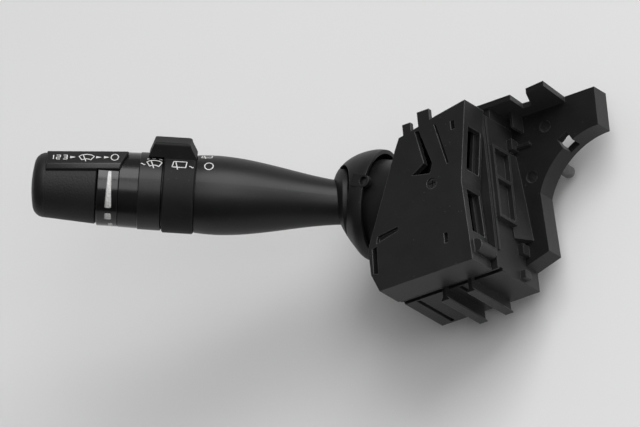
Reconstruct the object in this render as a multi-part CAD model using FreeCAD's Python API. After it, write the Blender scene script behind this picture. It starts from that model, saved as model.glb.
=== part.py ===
"""Steering-column stalk switch: a lever with two rotary controls on a switch housing.

Part frame, millimetres: the origin is where the axis of the steering column crosses
the back of the mounting plate. +Z runs along the column to the driver, +X runs from
the lever's side to the column, and +Y is up in the plane of the steering wheel.
"""
import FreeCAD, Part
import math
import os

from FreeCAD import Placement, Vector

# Clearances between pieces
seat_gap = 0.05         # radial gap of pieces that are pressed or clipped together
running_gap = 0.05      # radial gap of a journal in its bore
free_gap = 0.35         # gap between pieces that pass each other

# Hood centre, and the directions that the lever and the slanted wall take from it
hood_x = -84.6
hood_y = 19.6
hood_z = 20.5
lever_rise = 11.1       # degrees, above -X in the plane of the wheel
lever_rake = 31.4       # degrees, out of that plane to the driver
wall_turn = 24.0        # degrees, from -X to the slanted wall's normal
hood_tilt = 10.6        # degrees, of the hood's axis out of the plane of the wheel

# Pivot of the lever, measured from the hood centre along the slanted wall's normal
pivot_in = 5.0
pivot_side = 3.4
swing_limit = 7.0       # degrees each way about the column's direction
pull_limit = 7.0        # degrees to the driver
pin_r = 1.5

# Housing box
box_left = -78.5
box_right = -35.0
box_bottom = -23.3
wall_start = 69.1       # distance of the slanted wall from the origin along its normal
shell_wall = 2.0
body_height = 28.0
cover_base = body_height + 0.7
cover_top = cover_base + 12.6
cover_skin = 2.5
rear_skin = 2.0

# Mounting plate with its arc round the column
plate_height = 8.0
plate_skin = 3.0
plate_rim = 2.5
column_r = 27.6
arc_end_angle = 160.0
arm_end_y = 42.3
plate_right = -25.0
plate_low = -13.2
flange_skin = 2.0
flange_height = 23.1
screw_hole_r = 2.25
screw_boss_r = 4.6
upper_hole_x = -21.2
upper_hole_y = 33.8
lower_hole_x = -28.6
lower_hole_y = 16.6

# Collar, hood and gimbal ring
collar_r = 16.4
collar_wall = 2.0
hood_r = 19.5
hood_wall = 1.4
hood_depth = 17.7
hood_lift = 0.24        # of the hood's rim along the slanted wall
hood_rise = 4.61        # further lift of its crown
hood_band = 2.0         # length of the straight rim
rim_slope = 6.3         # degrees, of the rim's edge
mouth_r = 12.6
mouth_slide = 2.4       # room for the pull, to the driver
root_cap_r = 12.0
root_cap_bore_r = 8.35
ear_r = 2.3
gimbal_r = 13.3
gimbal_start = 1.0
gimbal_end = 9.0
gimbal_side = 7.2
gimbal_height = 10.2

# Lever, stations along its own axis from the hood centre
stem_start = 9.0
stem_root_r = 7.5
stem_neck = 14.7
stem_neck_r = 7.9
stem_swell = 40.6
stem_swell_r = 12.3
stem_end = 64.1
stem_end_r = 13.65
stem_wall = 2.0
ring_start = 64.4
ring_length = 11.2
ring_r = 14.2
ring_bore_r = 12.0
tab_start = 64.8
tab_length = 16.4
tab_top = 19.3
tab_half_width = 4.5
tab_angle = 55.0        # degrees round the lever, from the driver's side upwards
sleeve_length = 15.0
sleeve_tip_r = 13.2
scale_length = 7.7
scale_r = 13.1
knob_length = 18.2
knob_root_r = 12.6
knob_tip_r = 11.4
knob_wall = 1.6
dome_height = 4.95
dome_shoulder = 4.2
rib_start = 88.2
rib_slant = 2.9
rib_end = 117.0
rib_angle = 35.3
rib_root_height = 14.9
rib_tip_height = 12.9
rib_half_top = 2.7
rib_half_foot = 4.6
core_wall = 1.6
spindle_r = 4.0
board_r = 10.1
board_skin = 1.6

# Switch mechanism, stations along the slanted wall's normal into the housing
tail_end = 32.0
tail_half_height = 3.5
tail_half_width = 3.0
plunger_r = 1.8
plunger_tip = 36.6
plunger_travel = 1.2
pull_plate_start = 27.5
pull_plate_skin = 3.0
pull_plate_half = 11.4
tongue_station = 23.0
tongue_r = 1.6
slider_half_width = 9.0
frame_half = 14.4
frame_start = 25.6
frame_end = 42.0
circuit_height = 3.0
circuit_skin = 1.6

# Connector at the back
socket_left = box_left + 6.0
socket_right = socket_left + 18.5
socket_bottom = -15.0
socket_top = -1.0
socket_depth = 13.0
socket_wall = 1.5
pin_columns = 6
pin_rows = 2
pin_pitch = 2.54
pin_width = 0.64


# Local frames and plain solids


def frame_at(origin, x_axis, y_axis, z_axis):
    """Placement of a local frame given by its origin and three unit axes."""
    matrix = FreeCAD.Matrix(
        x_axis.x, y_axis.x, z_axis.x, origin.x,
        x_axis.y, y_axis.y, z_axis.y, origin.y,
        x_axis.z, y_axis.z, z_axis.z, origin.z,
        0, 0, 0, 1)
    return Placement(matrix)


def direction(heading, elevation):
    """Unit vector at a heading in the XY plane, raised by an elevation, in degrees."""
    flat = math.cos(math.radians(elevation))
    return Vector(
        flat * math.cos(math.radians(heading)),
        flat * math.sin(math.radians(heading)),
        math.sin(math.radians(elevation)))


hood_centre = Vector(hood_x, hood_y, hood_z)
lever_axis = direction(180 - lever_rise, lever_rake)
lever_face = direction(-lever_rise, 90 - lever_rake)
lever_up = lever_axis.cross(lever_face)
lever_frame = frame_at(hood_centre, lever_face, lever_up, lever_axis)

inward = direction(-wall_turn, 0)
sideways = direction(90 - wall_turn, 0)
column_way = Vector(0, 0, 1)
inner_frame = frame_at(hood_centre, inward, sideways, column_way)
pivot = Vector(pivot_in, pivot_side, 0)

hood_axis = direction(180 - wall_turn, hood_tilt)
hood_side = sideways
hood_frame = frame_at(hood_centre, hood_side.cross(hood_axis), hood_side, hood_axis)


def box(x0, x1, y0, y1, z0, z1):
    """Block between two corners."""
    return Part.makeBox(x1 - x0, y1 - y0, z1 - z0, Vector(x0, y0, z0))


def cylinder(radius, z0, z1, x=0.0, y=0.0):
    """Upright cylinder."""
    return Part.makeCylinder(radius, z1 - z0, Vector(x, y, z0))


def tube(outer_r, inner_r, z0, z1):
    """Upright tube."""
    return cylinder(outer_r, z0, z1).cut(cylinder(inner_r, z0 - 1, z1 + 1))


def rod(radius, start, end):
    """Cylinder between two points."""
    return Part.makeCylinder(radius, (end - start).Length, start, end - start)


def prism(points, z0, z1):
    """Upright prism on a closed outline of x, y points."""
    corners = [Vector(x, y, z0) for x, y in points]
    face = Part.Face(Part.makePolygon(corners + corners[:1]))
    return face.extrude(Vector(0, 0, z1 - z0))


def turned(points):
    """Solid turned about Z from a closed profile of radius, height points."""
    corners = [Vector(r, 0, z) for r, z in points]
    face = Part.Face(Part.makePolygon(corners + corners[:1]))
    return face.revolve(Vector(0, 0, 0), Vector(0, 0, 1), 360)


def sector(inner_r, outer_r, z0, z1, from_angle, to_angle):
    """Part of a tube between two angles in degrees."""
    start = Vector(inner_r, 0, z0)
    corners = [start, Vector(outer_r, 0, z0), Vector(outer_r, 0, z1), Vector(inner_r, 0, z1)]
    face = Part.Face(Part.makePolygon(corners + corners[:1]))
    solid = face.revolve(Vector(0, 0, 0), Vector(0, 0, 1), to_angle - from_angle)
    solid.rotate(Vector(0, 0, 0), Vector(0, 0, 1), from_angle)
    return solid


def placed(shape, frame):
    """Copy of a shape moved from a local frame to the part frame."""
    moved = shape.copy()
    moved.Placement = frame.multiply(moved.Placement)
    return moved


def bevelled(shape, size, picks):
    """Chamfer of the edges that the test picks."""
    edges = [edge for edge in shape.Edges if picks(edge)]
    return shape.makeChamfer(size, edges)


def rounded(shape, radius, picks):
    """Fillet of the edges that the test picks."""
    edges = [edge for edge in shape.Edges if picks(edge)]
    return shape.makeFillet(radius, edges)


# Lever, modelled in its own frame with its axis on Z

ring_end = ring_start + ring_length
sleeve_start = ring_end + free_gap
sleeve_end = sleeve_start + sleeve_length
scale_end = sleeve_end + scale_length
knob_start = scale_end + free_gap
knob_end = knob_start + knob_length
core_r = ring_bore_r - running_gap
core_bore_r = core_r - core_wall
core_end = scale_end - free_gap
plug_r = stem_end_r - stem_wall - 4 * seat_gap
plug_length = 4.5
spigot_r = stem_root_r - stem_wall - seat_gap
spigot_end = 28.0
lead_bore_r = 2.4
spindle_bore_r = spindle_r + running_gap
board_start = sleeve_end - 7.0
board_end = board_start + board_skin
spindle_start = board_start - 1.0
spindle_end = knob_start + 7.0
hub_r = 6.0
web_skin = 2.0
ball_r = 1.2
ball_offset = 8.2
pocket_wall = 0.85
lug_angle = 235.0
lug_half_angle = 8.0
lug_start = ring_start + 4.0
lug_length = 4.0
ring_turn_down = 15.0
ring_turn_up = 45.0
carrier_r = core_bore_r - free_gap
carrier_wall = 1.2


def tapered_shell(stations, wall):
    """Shell turned about Z whose outside runs smoothly through radius, height points."""
    def curve(inset):
        spline = Part.BSplineCurve()
        spline.interpolate([Vector(r - inset, 0, z) for r, z in stations])
        return spline.toShape()

    outer = curve(0)
    inner = curve(wall)
    first = Part.makeLine(inner.Vertexes[0].Point, outer.Vertexes[0].Point)
    last = Part.makeLine(outer.Vertexes[-1].Point, inner.Vertexes[-1].Point)
    face = Part.Face(Part.Wire(Part.__sortEdges__([first, outer, last, inner])))
    return face.revolve(Vector(0, 0, 0), Vector(0, 0, 1), 360)


def dome(rim_r, depth, shoulder, wall):
    """Domed shell on the XY plane: a shoulder arc runs into a flatter crown arc."""
    crown = (rim_r ** 2 - 2 * rim_r * shoulder + depth ** 2) / (2 * (depth - shoulder))
    shoulder_centre = Vector(rim_r - shoulder, 0, 0)
    crown_centre = Vector(0, 0, depth - crown)
    towards = (shoulder_centre - crown_centre).normalize()
    turn = math.atan2(towards.z, towards.x)
    crown_turn = (turn + math.pi / 2) / 2

    def arcs(inset):
        low = shoulder - inset
        high = crown - inset
        join = shoulder_centre + towards * low
        rim = shoulder_centre + Vector(low, 0, 0)
        middle = shoulder_centre + Vector(low * math.cos(turn / 2), 0, low * math.sin(turn / 2))
        over = crown_centre + Vector(high * math.cos(crown_turn), 0, high * math.sin(crown_turn))
        top = crown_centre + Vector(0, 0, high)
        return [Part.Arc(rim, middle, join).toShape(), Part.Arc(join, over, top).toShape()]

    edges = arcs(0) + arcs(wall)
    edges.append(Part.makeLine(Vector(0, 0, depth), Vector(0, 0, depth - wall)))
    edges.append(Part.makeLine(Vector(rim_r - wall, 0, 0), Vector(rim_r, 0, 0)))
    face = Part.Face(Part.Wire(Part.__sortEdges__(edges)))
    return face.revolve(Vector(0, 0, 0), Vector(0, 0, 1), 360)


def lever_stem():
    """Tapered hollow arm from the hood to the rear wiper ring."""
    stations = [
        (stem_root_r, stem_start),
        (stem_neck_r, stem_neck),
        (stem_swell_r, stem_swell),
        (stem_end_r, stem_end),
    ]
    return tapered_shell(stations, stem_wall)


def rear_wiper_ring():
    """Ring that turns on the core, with a thumb tab and a driving lug inside."""
    ring = tube(ring_r, ring_bore_r, ring_start, ring_end)
    ring = bevelled(ring, 0.5, lambda edge: abs(edge.BoundBox.XMax - ring_r) < 0.01)
    tab_foot = stem_end_r + free_gap
    tab_end = tab_start + tab_length
    lean = 1.8
    outline = [
        (tab_foot, tab_start), (tab_top - 0.4, tab_start + lean),
        (tab_top, tab_start + lean + 1.0), (tab_top, tab_end - lean - 0.6),
        (tab_top - 0.4, tab_end - lean), (tab_foot, tab_end),
    ]
    corners = [Vector(x, -tab_half_width, z) for x, z in outline]
    tab = Part.Face(Part.makePolygon(corners + corners[:1]))
    tab = tab.extrude(Vector(0, 2 * tab_half_width, 0))
    tab = rounded(tab, 1.0, lambda edge: edge.BoundBox.XMin > tab_top - 0.1
                  and edge.BoundBox.YLength < 0.01)
    tab = tab.cut(cylinder(tab_foot, tab_start - 1, tab_end + 1))
    bridge = box(ring_bore_r + 0.5, tab_top - 2, -tab_half_width, tab_half_width,
                 ring_start, ring_end)
    tab = tab.fuse(bridge)
    tab.rotate(Vector(0, 0, 0), Vector(0, 0, 1), tab_angle)
    lug = sector(carrier_r - carrier_wall, ring_bore_r + 0.5, lug_start,
                 lug_start + lug_length, lug_angle - lug_half_angle,
                 lug_angle + lug_half_angle)
    return ring.fuse([tab, lug]).removeSplitter()


def ring_carrier():
    """Tube inside the core that the ring's lug turns."""
    carrier = tube(carrier_r, carrier_r - carrier_wall, lug_start - 1.5,
                   board_start - 2.4)
    half = lug_half_angle + 0.5
    notch = sector(carrier_r - carrier_wall - 1, carrier_r + 1, lug_start - 2,
                   lug_start + lug_length + seat_gap, lug_angle - half,
                   lug_angle + half)
    return carrier.cut(notch)


def ring_contact():
    """Brass contact on the carrier's end, with pads that face the lever's board."""
    base = board_start - 2.4
    plate = sector(hub_r, carrier_r - 0.4, base, base + 0.5, 20, 340)
    pads = []
    for turn in (60, 180, 300):
        pads.append(sector(7.0, 8.6, base + 0.5, board_start - free_gap,
                           turn - 7, turn + 7))
    return plate.fuse(pads)


def lever_core():
    """Fixed tube that the ring, sleeve, scale and knob spindle sit on."""
    body = turned([
        (core_bore_r, stem_end - plug_length), (plug_r, stem_end - plug_length),
        (plug_r, stem_end), (core_r, stem_end), (core_r, core_end),
        (spindle_bore_r, core_end), (spindle_bore_r, core_end - 6.3),
        (hub_r - 0.3, core_end - 6.3), (hub_r - 0.3, core_end - web_skin),
        (core_bore_r, core_end - web_skin),
    ])
    window = sector(core_bore_r - 0.5, core_r + 1, lug_start - free_gap,
                    lug_start + lug_length + free_gap,
                    lug_angle - lug_half_angle - ring_turn_down - 3,
                    lug_angle + lug_half_angle + ring_turn_up + 3)
    bore_r = ball_r + seat_gap
    boss = cylinder(bore_r + pocket_wall, core_end - 7, core_end - 0.5, 0, ball_offset)
    bore = cylinder(bore_r, core_end - 6.2, core_end + 1, 0, ball_offset)
    return body.cut(window).fuse(boss).cut(bore).removeSplitter()


def detent_ball():
    """Steel ball that clicks in the dimples of the knob's web."""
    centre = Vector(0, ball_offset, knob_start - 0.15 - ball_r)
    return Part.makeSphere(ball_r, centre)


def detent_ball_spring():
    """Coil spring behind the ball, as a thin tube of its outer size."""
    shape = tube(ball_r - 0.1, ball_r - 0.45, core_end - 6.2,
                 knob_start - 0.2 - 2 * ball_r)
    shape.translate(Vector(0, ball_offset, 0))
    return shape


def lever_board():
    """Round circuit board across the core."""
    return tube(board_r, spindle_r + free_gap, board_start, board_end)


def lever_lead():
    """Flat cable from the lever's board to the root."""
    thick = 0.5
    run = spindle_r + 0.7
    outline = [
        (run, board_start), (run, 44.0), (-thick / 2, spigot_end + 3),
        (-thick / 2, stem_start + 3), (thick / 2, stem_start + 3),
        (thick / 2, spigot_end + 3), (run + thick, 44.0), (run + thick, board_start),
    ]
    corners = [Vector(x, -1.8, z) for x, z in outline]
    face = Part.Face(Part.makePolygon(corners + corners[:1]))
    return face.extrude(Vector(0, 3.6, 0))


def lever_sleeve():
    """Smooth sleeve between the ring and the scale, with a fine step."""
    step = sleeve_start + 8.0
    return turned([
        (ring_bore_r, sleeve_start), (stem_end_r - 0.3, sleeve_start),
        (stem_end_r, sleeve_start + 0.3), (stem_end_r - 0.05, step),
        (stem_end_r - 0.3, step + 0.25), (sleeve_tip_r, sleeve_end),
        (ring_bore_r, sleeve_end),
    ])


def delay_scale_ring():
    """Glossy ring that carries the interval scale."""
    shape = tube(scale_r, ring_bore_r, sleeve_end, scale_end)
    return bevelled(shape, 0.3, lambda edge: abs(edge.BoundBox.XMax - scale_r) < 0.01)


def knob_profile_r(station):
    """Outside radius of the knob at a station."""
    share = (station - knob_start) / knob_length
    return knob_root_r + share * (knob_tip_r - knob_root_r)


def wiper_knob():
    """Hollow end knob with a web and a hub that grips the spindle."""
    bore = spindle_r + seat_gap
    web_end = knob_start + web_skin
    knob = turned([
        (bore, knob_start), (knob_root_r - 0.4, knob_start),
        (knob_root_r, knob_start + 0.4), (knob_tip_r, knob_end),
        (knob_tip_r - knob_wall, knob_end),
        (knob_profile_r(web_end) - knob_wall, web_end), (hub_r, web_end),
        (hub_r, spindle_end), (bore, spindle_end),
    ])
    dimples = []
    for turn in (0, 41, 82, 109, 136):
        dimple = Part.makeSphere(ball_r, Vector(0, ball_offset, knob_start + 0.1 - ball_r))
        dimple.rotate(Vector(0, 0, 0), Vector(0, 0, 1), turn)
        dimples.append(dimple)
    return knob.cut(dimples)


def knob_end_cap():
    """Domed cap that closes the knob."""
    cap = dome(knob_tip_r, dome_height, dome_shoulder, 1.8)
    cap.translate(Vector(0, 0, knob_end))
    plug_outer = knob_tip_r - knob_wall - seat_gap
    plug = tube(plug_outer, plug_outer - 1.3, knob_end - 3.5, knob_end + 0.2)
    return cap.fuse(plug)


def knob_spindle():
    """Shaft from the knob through the core to the lever's board."""
    shape = cylinder(spindle_r, spindle_start, spindle_end)
    return bevelled(shape, 0.4, lambda edge: True)


def knob_contact():
    """Brass contact disc on the spindle, above the lever's board."""
    base = board_end + 0.9
    disc = tube(9.2, spindle_r + seat_gap, base, base + 0.5)
    collar = tube(spindle_r + 1.2, spindle_r + seat_gap, base, base + 1.6)
    pads = []
    for turn in (0, 120, 240):
        pads.append(sector(7.0, 8.6, board_end + free_gap, base, turn - 7, turn + 7))
    return disc.fuse([collar] + pads)


def knob_legend_plate():
    """Raised legend rib along the knob that reaches over the scale ring."""
    def section(station, height):
        foot = knob_tip_r - 1.2
        points = [(height, -rib_half_top), (height, rib_half_top),
                  (foot, rib_half_foot), (foot, -rib_half_foot)]
        corners = [Vector(x, y, station) for x, y in points]
        return Part.makePolygon(corners + corners[:1])

    rib = Part.makeLoft([section(rib_start, rib_root_height),
                         section(rib_end, rib_tip_height)], True, True)
    clear_r = sleeve_tip_r + free_gap
    under = turned([
        (0, rib_start - 1), (clear_r, rib_start - 1), (clear_r, knob_start),
        (knob_root_r - 0.4, knob_start), (knob_root_r, knob_start + 0.4),
        (knob_tip_r, knob_end), (0, knob_end),
    ])
    reach = rib_half_foot + 1
    slant = [Vector(0, -reach, rib_start - 1), Vector(0, -reach, rib_start + rib_slant),
             Vector(0, reach, rib_start), Vector(0, reach, rib_start - 1)]
    end = Part.Face(Part.makePolygon(slant + slant[:1])).extrude(Vector(20, 0, 0))
    rib = rib.cut([under, end])
    rib.rotate(Vector(0, 0, 0), Vector(0, 0, 1), rib_angle)
    return rib


# Pivot of the lever, modelled in the frame of the slanted wall's normal


def lever_root():
    """Moulded root: spigot in the stem, hub on the pull pin and tail in the housing."""
    spigot = cylinder(spigot_r, -2, spigot_end)
    shoulder = cylinder(stem_root_r - 0.2, stem_start - 2.6, stem_start)
    neck = Part.makeCone(hub_r - 1, stem_root_r - 0.6, stem_start - 1, Vector(0, 0, -1))
    lead_bore = cylinder(lead_bore_r, stem_start + 2, spigot_end + 1)
    outside = spigot.fuse([shoulder, neck]).cut(lead_bore)
    outside = placed(outside, lever_frame)

    half = gimbal_side - free_gap
    hub = rod(hub_r, Vector(pivot_in, -half, 0), Vector(pivot_in, half, 0))
    tail = box(pivot_in, tail_end, -tail_half_width, tail_half_width,
               -tail_half_height, tail_half_height)
    tail = bevelled(tail, 0.6, lambda edge: edge.BoundBox.XLength > 10)
    pin_bore = rod(pin_r + running_gap, Vector(pivot_in, -gimbal_r, 0),
                   Vector(pivot_in, gimbal_r, 0))
    plunger_bore = rod(plunger_r + running_gap, Vector(tail_end - 14, 0, 0),
                       Vector(tail_end + 1, 0, 0))
    inside = hub.fuse(tail)
    inside = placed(inside, inner_frame)
    cutters = [placed(pin_bore, inner_frame), placed(plunger_bore, inner_frame)]
    return outside.fuse(inside).cut(cutters).removeSplitter()


def detent_plunger():
    """Sprung plunger with a round nose that runs on the detent block."""
    body = rod(plunger_r, Vector(tail_end - 6, 0, 0), Vector(plunger_tip - plunger_r, 0, 0))
    nose = Part.makeSphere(plunger_r, Vector(plunger_tip - plunger_r, 0, 0))
    return body.fuse(nose).removeSplitter()


def plunger_spring():
    """Coil spring behind the plunger, as a thin tube of its outer size."""
    start = Vector(tail_end - 14, 0, 0)
    end = Vector(tail_end - 6.1 - plunger_travel, 0, 0)
    return rod(plunger_r - 0.15, start, end).cut(rod(plunger_r - 0.65, start, end))


def gimbal_ring():
    """Carrier between the two pivots, with an arm that drives the swing slider."""
    ring = rod(gimbal_r, Vector(gimbal_start, 0, 0), Vector(gimbal_end, 0, 0))
    hole = box(gimbal_start - 1, gimbal_end + 1, -gimbal_side, gimbal_side,
               -gimbal_height, gimbal_height)
    arm = box(gimbal_end - 2, tongue_station + 2.2, -3.2, 3.2,
              -gimbal_height - 2.2, -gimbal_height)
    tongue = rod(tongue_r, Vector(tongue_station, 0, -gimbal_height - 1),
                 Vector(tongue_station, 0, slider_low + 0.6))
    pull_bore = rod(pin_r + seat_gap, Vector(pivot_in, -gimbal_r - 1, 0),
                    Vector(pivot_in, gimbal_r + 1, 0))
    swing_bore = rod(pin_r + seat_gap, pivot + Vector(0, 0, -gimbal_r - 1),
                     pivot + Vector(0, 0, gimbal_r + 1))
    return ring.cut(hole).fuse([arm, tongue]).cut([pull_bore, swing_bore])


def swing_pins():
    """Two upright pins that carry the gimbal ring and the hood on the collar."""
    pins = []
    for side in (1, -1):
        pins.append(rod(pin_r, pivot + Vector(0, 0, side * gimbal_height),
                        pivot + Vector(0, 0, side * (hood_r - 1.5))))
    return Part.makeCompound(pins)


def pull_pin():
    """Cross pin that the lever's root turns on."""
    reach = gimbal_r - 1.2
    return rod(pin_r, Vector(pivot_in, -reach, 0), Vector(pivot_in, reach, 0))


def pivot_collar():
    """Fixed collar round the gimbal ring, with a flange behind the slanted wall."""
    wall_station = hood_reach + body_inset
    outer = rod(collar_r, Vector(1.2, 0, 0), Vector(wall_station + shell_wall, 0, 0))
    front = box(-40, 40, -40, 40, 0.8, 40)
    front = placed(placed(front, hood_frame), inner_frame.inverse())
    flange = rod(collar_r + 1.2, Vector(wall_station + shell_wall, 0, 0),
                 Vector(wall_station + shell_wall + 0.9, 0, 0))
    inner = rod(collar_r - collar_wall, Vector(-1, 0, 0), Vector(wall_station + 6, 0, 0))
    bore = rod(pin_r + running_gap, pivot + Vector(0, 0, -collar_r - 1),
               pivot + Vector(0, 0, collar_r + 1))
    return outer.fuse(flange).cut([inner, bore, front])


def hood_blank(inset):
    """Solid inside a leaning dome with a straight rim, drawn in by an inset."""
    rings = []
    for station in (-6.0, -3.0, 0.0):
        rings.append((hood_r, station, hood_lift))
    for share in (0.12, 0.28, 0.45, 0.62, 0.77, 0.89, 0.97):
        rings.append((hood_r * math.sqrt(1 - share ** 1.2), share * hood_depth,
                      hood_lift + hood_rise * share ** 0.9))
    wires = []
    for radius, station, lift in rings:
        share = max(station, 0) / hood_depth
        station = station - inset * share
        ring = Part.Circle(Vector(0, lift, station), Vector(0, 0, 1), radius - inset)
        wires.append(Part.Wire(ring.toShape()))
    return Part.makeLoft(wires, True, False)


def hood_shell():
    """Wall of the leaning dome, with its edge cut on a slope."""
    shell = hood_blank(0).cut(hood_blank(hood_wall))
    beyond = box(-40, 40, -40, 40, -20, 0)
    beyond.rotate(Vector(0, 0, 0), Vector(1, 0, 0), rim_slope)
    beyond.translate(Vector(0, 0, -hood_band))
    return placed(shell.cut(beyond), hood_frame)


def pivot_hood():
    """Domed hood over the lever's root, with two ears on the swing pins."""
    ears = []
    ear_low = collar_r + 0.7
    ear_high = hood_r - 0.3
    for side, start in ((1, 0.0), (-1, -3.0)):
        low, high = sorted((side * ear_low, side * ear_high))
        ear = box(start, pivot_in, pivot_side - ear_r, pivot_side + ear_r, low, high)
        end = cylinder(ear_r, low, high, pivot_in, pivot_side)
        ears.append(placed(ear.fuse(end), inner_frame))
    mouth = box(0, mouth_slide, -mouth_r, mouth_r, 4, 30)
    mouth = mouth.fuse([cylinder(mouth_r, 4, 30), cylinder(mouth_r, 4, 30, mouth_slide, 0)])
    bore = rod(pin_r + seat_gap, pivot + Vector(0, 0, -hood_r - 1),
               pivot + Vector(0, 0, hood_r + 1))
    cutters = [placed(mouth, lever_frame), placed(bore, inner_frame)]
    return hood_shell().fuse(ears).cut(cutters).removeSplitter()


def root_cap():
    """Cap on the stem's root that fills the hood's mouth."""
    disc = cylinder(root_cap_r, 4, 30).cut(cylinder(root_cap_bore_r, 0, 31))
    return hood_shell().common(placed(disc, lever_frame))


# Housing, modelled in the part frame


def on_wall(y):
    """Corner of the outline on the slanted wall at a given y."""
    turn = math.radians(wall_turn)
    return ((y * math.sin(turn) - wall_start) / math.cos(turn), y)


cover_outline = [
    (box_right - 2.3, box_bottom - 0.3), (box_right - 3.4, 7.2),
    (box_right + 1.4, 36.8), (-46.1, 34.5), (-54.0, 32.6), (-61.6, 31.0),
    on_wall(27.0), on_wall(-6.7), (box_left, -16.5), (box_left + 2.7, box_bottom - 0.3),
]
body_outline = [
    (box_right, box_bottom), (box_right, 36.5), (-46.1, 34.0), (-61.0, 30.5),
    (on_wall(27.0)[0] + 0.6, 26.8), (on_wall(-6.7)[0] + 0.6, -6.6),
    (box_left + 0.6, -16.3), (box_left + 3.1, box_bottom),
]


def slab(points, inset, z0, z1):
    """Upright slab on an outline that is drawn in by an inset."""
    corners = [Vector(x, y, z0) for x, y in points]
    wire = Part.makePolygon(corners + corners[:1])
    if inset:
        wire = wire.makeOffset2D(-inset, 2)
    return Part.Face(wire).extrude(Vector(0, 0, z1 - z0))


def wall_ring(points, outer_inset, inner_inset, z0, z1):
    """Upright wall between two insets of an outline."""
    return slab(points, outer_inset, z0, z1).cut(slab(points, inner_inset, z0 - 1, z1 + 1))


def plate_outline(inset, z0, z1):
    """Mounting plate's solid: straight sides and an arc round the column."""
    end = math.radians(arc_end_angle)
    start = Vector(column_r * math.cos(end), column_r * math.sin(end), z0)
    top = Vector(0, column_r, z0)
    middle_angle = (end + math.pi / 2) / 2
    middle = Vector(column_r * math.cos(middle_angle), column_r * math.sin(middle_angle), z0)
    corners = [
        top, Vector(0, arm_end_y, z0), Vector(box_right - 1, arm_end_y, z0),
        Vector(box_right - 1, plate_low - 3.3, z0), Vector(plate_right, plate_low, z0), start,
    ]
    edges = [Part.makeLine(corners[i], corners[i + 1]) for i in range(len(corners) - 1)]
    edges.append(Part.Arc(start, middle, top).toShape())
    wire = Part.Wire(edges)
    if inset:
        wire = wire.makeOffset2D(-inset, 2)
    return Part.Face(wire).extrude(Vector(0, 0, z1 - z0))


def mounting_plate():
    """Arched plate, open at the back, with screw bosses and an upright flange."""
    plate = plate_outline(0, 0, plate_height)
    plate = plate.cut(plate_outline(plate_rim, -1, plate_height - plate_skin))
    flange_y = arm_end_y - flange_skin
    profile = [
        (box_right - 5, 0), (box_right - 5, flange_height), (-25.5, flange_height),
        (-26.0, 13.8), (-22.7, 13.4), (-18.8, 23.5), (-10.9, 24.7), (-12.2, plate_height),
        (-12.2, 0),
    ]
    corners = [Vector(x, flange_y, z) for x, z in profile]
    flange = Part.Face(Part.makePolygon(corners + corners[:1]))
    flange = flange.extrude(Vector(0, flange_skin, 0))
    bridge = box(box_right - 5, box_right, 33, arm_end_y, 0, flange_height - 1)
    solids = [flange, bridge]
    holes = []
    for x, y in ((upper_hole_x, upper_hole_y), (lower_hole_x, lower_hole_y)):
        solids.append(cylinder(screw_boss_r, 0, plate_height, x, y))
        holes.append(cylinder(screw_hole_r, -1, plate_height + 20, x, y))
    solids.append(cylinder(peg_r + 1.6, 0, plate_height - 1, peg_x, peg_y)
                  .common(plate_outline(0, 0, plate_height)))
    holes.append(cylinder(peg_tenon_r + seat_gap, -1, plate_height - plate_skin, peg_x, peg_y))
    plate = plate.fuse(solids)
    return plate, holes


peg_x = -22.5
peg_y = 21.8
peg_r = 2.2
peg_tenon_r = 1.5
peg_reach = 9.0
peg_relief = 0.3
notch_angle = 118.0
notch_half = 2.2
notch_floor = 2.6
hood_reach = -hood_centre.dot(inward) - wall_start
body_inset = 0.55
ledge = 1.5
tongue_wall = 1.2
slider_low = circuit_height + circuit_skin + 0.6 - hood_z
slider_high = slider_low + 2.8
rib_reach = 4.3
rib_skin = 1.5
groove_width = 1.6
lug_places = (-13.0, 27.5)
lug_width = 4.0
block_out = 2.4
block_start = -3.5
block_end_y = 24.5
block_low = 15.0
lug_low = 8.6
lug_high = 12.0


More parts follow.
